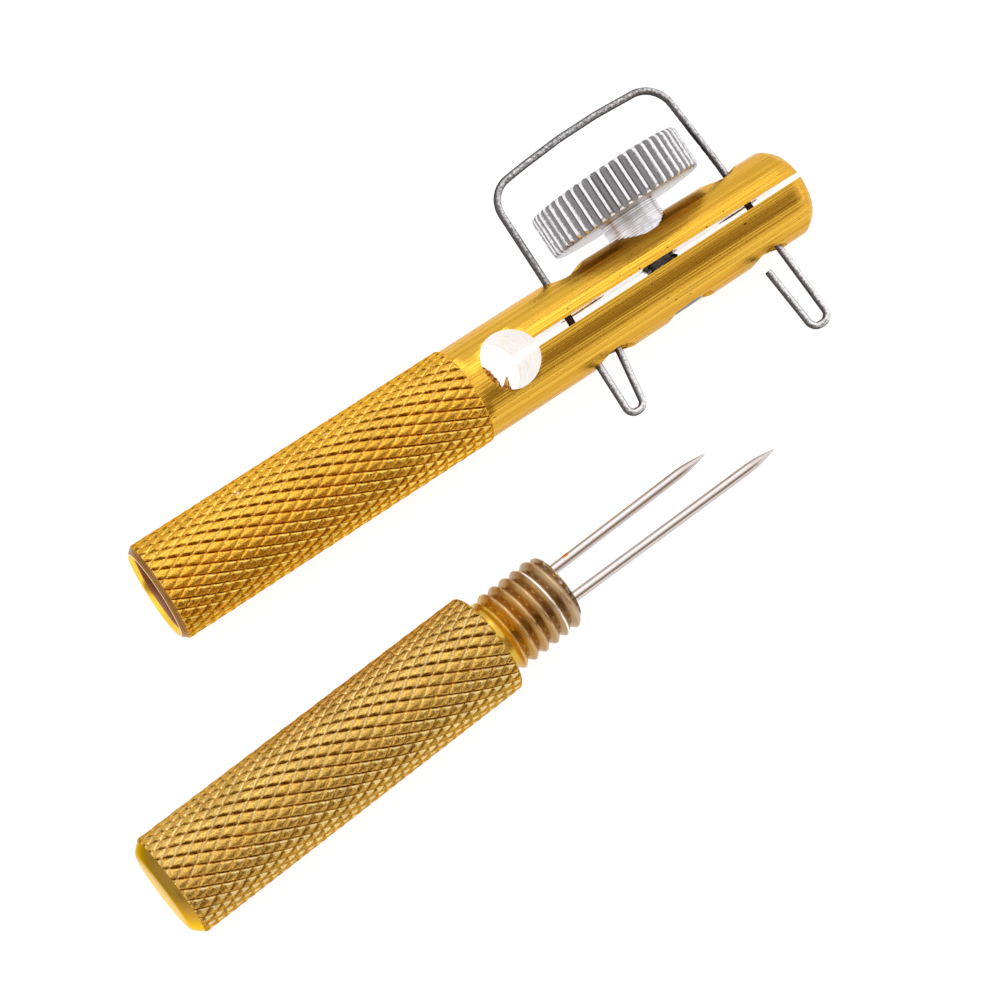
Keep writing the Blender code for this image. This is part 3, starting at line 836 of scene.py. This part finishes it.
def make_wheel():
    """Fluted wheel: U-shaped flutes with narrow lands that run out in the rounded rims."""
    low, high, rim, edge = WHEEL_NEAR, WHEEL_FAR, WHEEL_RADIUS, 0.6 * MM
    dish = high - WHEEL_DISH
    face = [(dish, 0.35 * MM), (dish, 2.2 * MM), (high, 2.45 * MM)]
    outer = arc((high - edge, rim - edge), edge, 0, 90, 7)
    middle = [(x, rim) for x in np.linspace(high - edge, low + edge, 8)[1:-1]]
    inner = arc((low + edge, rim - edge), edge, 90, 180, 7)
    back = [(low, 5.0 * MM), (low, 3.0 * MM), (low, 1.0 * MM)]
    x, turned = np.array([*face, *outer, *middle, *inner, *back]).T[:, :, None]
    turn = np.arange(FLUTES * FLUTE_STEPS) / FLUTE_STEPS
    across = np.abs(turn - np.round(turn)) * 2
    hollow = np.sqrt(np.clip(1 - (across / FLUTE_SHARE) ** 2, 0, 1))
    rng = np.random.default_rng(3)
    uneven = np.repeat(rng.uniform(0.85, 1.1, FLUTES), FLUTE_STEPS)
    fluted = rim - FLUTE_DEPTH * hollow * np.roll(uneven, FLUTE_STEPS // 2)
    radius = np.minimum(turned, fluted[None, :])
    depth = np.where(radius > rim - 2 * FLUTE_DEPTH, (rim - radius) / FLUTE_DEPTH, 0)
    relief = np.where(turned > radius + 0.02 * MM, np.clip(depth, 0, 1), 0)
    relief[-len(back) - 2 :] = WHEEL_BACK_TONE
    mesh = lathe("thumb_wheel_fluted", x, radius, sharp=33, values=relief)
    return place("thumb_wheel_fluted", mesh, SCREW, "thumb_screw", fluted_nickel(),
                 ["thumb_wheel"])


def make_collar():
    """Turned collar between wheel and jaw, with tool marks round it."""
    low, high = RECESS_FLOOR + 0.02 * MM, WHEEL_NEAR + 0.01 * MM
    x = np.linspace(high, low, 60)
    marks = 0.018 * MM * np.sin(x / MM * 23) + 0.014 * MM * np.sin(x / MM * 41 + 1)
    chamfer = 0.25 * MM * np.clip((low + 0.4 * MM - x) / (0.4 * MM), 0, 1)
    profile = list(zip(x, COLLAR_RADIUS + marks - chamfer))
    mesh = from_profile("turned_collar", profile, columns=96, sharp=60)
    metal = plated("turned_nickel", (0.86, 0.85, 0.87), (0.34, 0.31, 0.31), 0.22, 5200, 40)
    return place("turned_collar", mesh, SCREW, "screw_carrier", metal,
                 ["wheel_collar"])


def make_screw():
    """Screw with a real helical thread, seen in the slot and at its tip."""
    low, high = -5.7 * MM, 5.0 * MM
    x = np.arange(high, low, -0.1 * MM)
    columns = 48
    phase = x[:, None] / SCREW_PITCH - np.arange(columns) / columns
    crest = 1 - np.abs(phase - np.round(phase)) * 2
    thread = SCREW_RADIUS - SCREW_THREAD_DEPTH * (1 - crest)
    chamfer = 1.95 * MM + np.clip(x - low, 0, None) * 0.8
    mesh = lathe("threaded_screw", x[:, None], np.minimum(thread, chamfer[:, None]), sharp=40)
    metal = plated("screw_steel", (0.40, 0.38, 0.37), (0.14, 0.13, 0.12), 0.28, 2500, 80)
    return place("threaded_screw", mesh, SCREW, "thumb_screw", metal,
                 ["clamp_screw"])


def rounded_path(corners):
    """Points along a polyline whose corners are arcs, from (point, bend radius) pairs."""
    path = [Vector(corners[0][0])]
    for before, (corner, radius), after in zip(corners, corners[1:], corners[2:]):
        middle = Vector(corner)
        back = (Vector(before[0]) - middle).normalized()
        ahead = (Vector(after[0]) - middle).normalized()
        half = back.angle(ahead) / 2
        sweep = math.pi - 2 * half
        centre = middle + (back + ahead).normalized() * radius / math.sin(half)
        start = middle + back * radius / math.tan(half)
        turn = math.copysign(sweep, back.x * ahead.y - back.y * ahead.x)
        steps = max(3, math.ceil(sweep / math.radians(9)))
        for step in range(steps + 1):
            path.append(centre + Matrix.Rotation(-turn * step / steps, 2) @ (start - centre))
    path.append(Vector(corners[-1][0]))
    return path


def even_points(path, spacing):
    """The same line, with points at an even spacing."""
    points = np.array([list(point) for point in path])
    lengths = np.linalg.norm(np.diff(points, axis=0), axis=1)
    at = np.concatenate([[0], np.cumsum(lengths)])
    count = max(2, int(at[-1] / spacing))
    wanted = np.linspace(0, at[-1], count)
    return np.stack([np.interp(wanted, at, points[:, axis]) for axis in range(2)], -1), wanted


def make_wire():
    """Bent wire, dented by pliers along its outer leg and slightly everywhere else."""
    path = rounded_path([(Vector(point) * MM, radius * MM) for point, radius in WIRE_CORNERS])
    points, along = even_points(path, 0.16 * MM)
    tangent = np.gradient(points, axis=0)
    tangent /= np.linalg.norm(tangent, axis=1)[:, None]
    normal = np.stack([-tangent[:, 1], tangent[:, 0]], -1)
    count, sides = len(points), 20
    angle = np.arange(sides) * 2 * math.pi / sides

    def dent(centre, side, length, width, depth):
        """One dent: its place along and round the wire, its size both ways and its depth."""
        reach = np.exp(-(((along - centre) / length) ** 2))
        round_it = np.exp(-((np.angle(np.exp(1j * (angle - side))) / width) ** 2))
        return depth * reach[:, None] * round_it

    rng = np.random.default_rng(7)
    dents = np.zeros((count, sides))
    x, y = points.T
    outer_leg = (x > 84.2 * MM) & (y > 6 * MM) & (y < 18 * MM)
    for index in np.flatnonzero(outer_leg)[::3]:
        side = rng.normal(math.pi, 0.45)
        centre = along[index] + rng.uniform(0, 0.3) * MM
        dents += dent(centre, side, 0.16 * MM, 0.5, rng.uniform(0.02, 0.085) * MM)
    for index in rng.choice(count, 120, replace=False):
        side = rng.uniform(0, 2 * math.pi)
        dents += dent(along[index], side, 0.2 * MM, 0.6, rng.uniform(0.0, 0.022) * MM)
    radius = WIRE_RADIUS - dents
    radius[[0, -1]] *= 0.86
    flat = points[:, None, :] + normal[:, None, :] * (radius * np.cos(angle))[:, :, None]
    rise = radius * np.sin(angle)
    verts = np.concatenate([flat, rise[:, :, None]], -1).reshape(-1, 3).tolist()
    faces = []
    for row in range(count - 1):
        for side in range(sides):
            a, b = row * sides + side, row * sides + (side + 1) % sides
            faces.append([a, a + sides, b + sides, b])
    faces.append(list(range(sides)))
    faces.append(list(reversed(range((count - 1) * sides, count * sides))))
    mesh = bpy.data.meshes.new("bent_wire")
    mesh.from_pydata(verts, [], faces)
    mesh.shade_smooth()
    mesh.set_sharp_from_angle(angle=math.radians(50))
    return place("bent_wire", mesh, WIRE, "wire_slider", drawn_wire(), ["wire_frame"])


# ---- Needle half ----
def spigot_thread(x, columns):
    """Radius of the needle half's thread at each x and column, with its run-in and end chamfer."""
    phase = (x[:, None] - FIRST_CREST) / THREAD_PITCH - np.arange(columns) / columns
    away = np.abs(phase - np.round(phase)) * 2
    shape = np.clip(np.clip(1.08 * (1 - away), 0, 1) ** 0.8, 0, 0.97)
    thread = ROOT_RADIUS + (CREST_RADIUS - ROOT_RADIUS) * shape
    run_in = np.clip((x - THREAD_START) / (0.7 * MM), 0, 1)[:, None]
    undercut = NECK_RADIUS - 0.1 * MM
    thread = undercut + (thread - undercut) * run_in
    return np.minimum(thread, (4.35 * MM + (SPIGOT_END - x) * 0.62)[:, None])


def make_handle():
    """Knurled handle with chamfered rear end, neck, and a real helical thread on the spigot."""
    below, knurl, tone, split = make_knurl(NEEDLE_GRIP_LENGTH, NEEDLE_KNURL)
    columns = knurl.shape[1]
    x_knurl = NEEDLE_GRIP_LENGTH - below
    chamfer_front = 6.0 * MM + (NEEDLE_GRIP_LENGTH - x_knurl) * 1.1
    chamfer_rear = 6.0 * MM + x_knurl * 1.1
    knurl = np.minimum(knurl, np.minimum(chamfer_front, chamfer_rear)[:, None])
    x_thread = np.arange(SPIGOT_END, THREAD_START, -0.075 * MM)
    thread = spigot_thread(x_thread, columns)
    parts = [
        even_rows([(SPIGOT_END, 1.0 * MM), (SPIGOT_END, 3.0 * MM)], columns),
        (np.repeat(x_thread[:, None], columns, 1), thread),
        even_rows(in_mm(NECK), columns),
        (np.repeat(x_knurl[:, None], columns, 1), knurl),
        even_rows(in_mm(REAR_END), columns),
    ]
    all_x, all_r = (np.concatenate(arrays) for arrays in zip(*parts))
    thread_at, neck_at, knurl_at, rear_at = np.cumsum([len(r) for _, r in parts])[:-1]
    relief = np.zeros(all_r.shape, np.float32)
    relief[thread_at:neck_at] = (thread - ROOT_RADIUS) / (CREST_RADIUS - ROOT_RADIUS)
    # The knurl's rows carry its painted light and shade as tone.
    relief[knurl_at:rear_at] = tone
    diagonals = np.zeros(all_r.shape, bool)
    diagonals[knurl_at:rear_at] = split
    mesh = lathe("threaded_handle", all_x, all_r, sharp=30, split=diagonals[:-1], values=relief)
    materials = (knurled_gold("olive_knurl", OLIVE_KNURL, 300), thread_metal(),
                 face_gold("end_gold", wear_and_highlight=False))
    for material in materials:
        mesh.materials.append(material)
    # Two triangles a cell, the second ones after all the first ones, then the caps in turn.
    row = np.arange((len(all_r) - 1) * columns) // columns
    kind = np.where(row < knurl_at, 1, np.where(row < rear_at - 1, 0, 2))
    kinds = np.concatenate([kind, kind, np.tile([1, 2], columns)])
    mesh.polygons.foreach_set("material_index", kinds.astype(np.int32))
    return place("threaded_handle", mesh, NEEDLE, "needle_half", None,
                 ["needle_handle"])


def make_needle(name, size, node, rust):
    """Needle with a long slender ground point."""
    foot = SPIGOT_END - NEEDLE_SEAT
    length = size["tip"] - foot
    taper = np.linspace(0, 1, 22)
    x_tip = length - taper * NEEDLE_TAPER
    r_tip = NEEDLE_RADIUS * (0.03 + 0.97 * np.sin(taper * math.pi / 2) ** 0.92)
    shank = [(length * share, NEEDLE_RADIUS) for share in (0.7, 0.35, 0.0)]
    mesh = from_profile(name, [*zip(x_tip, r_tip), *shank], columns=28, sharp=60)
    lean = math.tan(size["lean"]) * NEEDLE_SEAT / 2
    at = Matrix.Translation((foot, size["y"] - lean, 0)) @ Matrix.Rotation(size["lean"], 4, "Z")
    metal = needle_steel(name + "_steel", rust)
    return place(name, mesh, NEEDLE @ at, "needle_half", metal, [node])


# ---- Stage ----
def make_camera():
    """Camera at the same place, aim and field of view as the object is seen from."""
    yaw, fall, roll = (math.radians(angle) for angle in CAMERA_YAW_FALL_ROLL)
    level = math.cos(fall)
    ahead = Vector((math.sin(yaw) * level, math.cos(yaw) * level, -math.sin(fall)))
    right = Vector((math.cos(yaw), -math.sin(yaw), 0))
    up = right.cross(ahead)
    across = right * math.cos(roll) + up * math.sin(roll)
    rise = up * math.cos(roll) - right * math.sin(roll)
    data = bpy.data.cameras.new("camera")
    data.sensor_width = 36
    data.lens = CAMERA_LENS
    data.clip_start = 0.01
    data.clip_end = 10
    camera = bpy.data.objects.new("camera", data)
    bpy.context.scene.collection.objects.link(camera)
    turn = Matrix((across, rise, -ahead)).transposed().to_4x4()
    camera.matrix_world = Matrix.Translation(CAMERA_AT) @ turn
    bpy.context.scene.camera = camera


def make_floor():
    """White table that glows a little, so that it stays white round the object's soft shadow."""
    bm = bmesh.new()
    bmesh.ops.create_grid(bm, x_segments=2, y_segments=2, size=1.5)
    mesh = bpy.data.meshes.new("floor")
    bm.to_mesh(mesh)
    bm.free()
    n = Nodes("white_table", (0.18, 0.18, 0.18), 0.7, metallic=0.0)
    n.shader.inputs["Specular IOR Level"].default_value = 0.0
    n.shader.inputs["Emission Color"].default_value = (1, 1, 1, 1)
    n.shader.inputs["Emission Strength"].default_value = 0.92
    floor = bpy.data.objects.new("floor", mesh)
    mesh.materials.append(n.material)
    floor.location.z = -FLOOR_DROP
    bpy.context.scene.collection.objects.link(floor)


def area_light(name, at, aim, size, power):
    """A white rectangular lamp that looks at a point."""
    data = bpy.data.lights.new(name, "AREA")
    data.shape = "RECTANGLE"
    data.size, data.size_y = size
    data.energy = power
    lamp = bpy.data.objects.new(name, data)
    lamp.location = at
    lamp.rotation_euler = (Vector(aim) - Vector(at)).to_track_quat("-Z", "Y").to_euler()
    bpy.context.scene.collection.objects.link(lamp)


def make_world():
    """White tent, open to the front, where a dark band shows between the light and the table."""
    world = bpy.data.worlds.new("tent")
    bpy.context.scene.world = world
    world.use_nodes = True
    tree = world.node_tree
    background = tree.nodes["Background"]
    direction = tree.nodes.new("ShaderNodeTexCoord").outputs["Generated"]
    parts = tree.nodes.new("ShaderNodeSeparateXYZ")
    tree.links.new(direction, parts.inputs[0])

    def step(axis, low, high):
        """Smoothly from 0 at low to 1 at high along one axis of the direction."""
        made = tree.nodes.new("ShaderNodeMapRange")
        made.interpolation_type = "SMOOTHSTEP"
        tree.links.new(parts.outputs[axis], made.inputs["Value"])
        made.inputs["From Min"].default_value = low
        made.inputs["From Max"].default_value = high
        return made.outputs["Result"]

    def times(first, second):
        made = tree.nodes.new("ShaderNodeMath")
        made.operation = "MULTIPLY"
        tree.links.new(first, made.inputs[0])
        tree.links.new(second, made.inputs[1])
        return made.outputs[0]

    def mixed(share, first, second):
        made = tree.nodes.new("ShaderNodeMix")
        made.data_type = "RGBA"
        tree.links.new(share, made.inputs["Factor"])
        for value, socket in ((first, made.inputs["A"]), (second, made.inputs["B"])):
            if isinstance(value, tuple):
                socket.default_value = value
            else:
                tree.links.new(value, socket)
        return made.outputs["Result"]

    front, left_of_lamp = step("Y", -0.2, -0.55), step("X", 0.7, 0.45)
    under_light, over_table = step("Z", 0.86, 0.76), step("Z", 0.02, 0.22)
    dark = times(times(front, left_of_lamp), times(under_light, over_table))
    behind = times(step("Y", 0.3, 0.6), step("Z", 0.8, 0.6))
    light = mixed(dark, mixed(behind, TENT_LIGHT, TENT_BACK), TENT_DARK_BAND)
    tree.links.new(light, background.inputs["Color"])
    background.inputs["Strength"].default_value = 1.0


make_camera()
make_grip()
make_jaws()
make_burr()
make_wheel()
make_collar()
make_screw()
make_wire()
make_handle()
make_needle("long_needle_ground", LONG_NEEDLE, "long_needle", rust=False)
make_needle("short_needle_ground", SHORT_NEEDLE, "short_needle", rust=True)
make_floor()
area_light("overhead", at=(0.1, 0.3, 0.8), aim=(0, 0, 0), size=(0.5, 0.4), power=0.7)
make_world()
bpy.context.scene.view_settings.view_transform = "Standard"
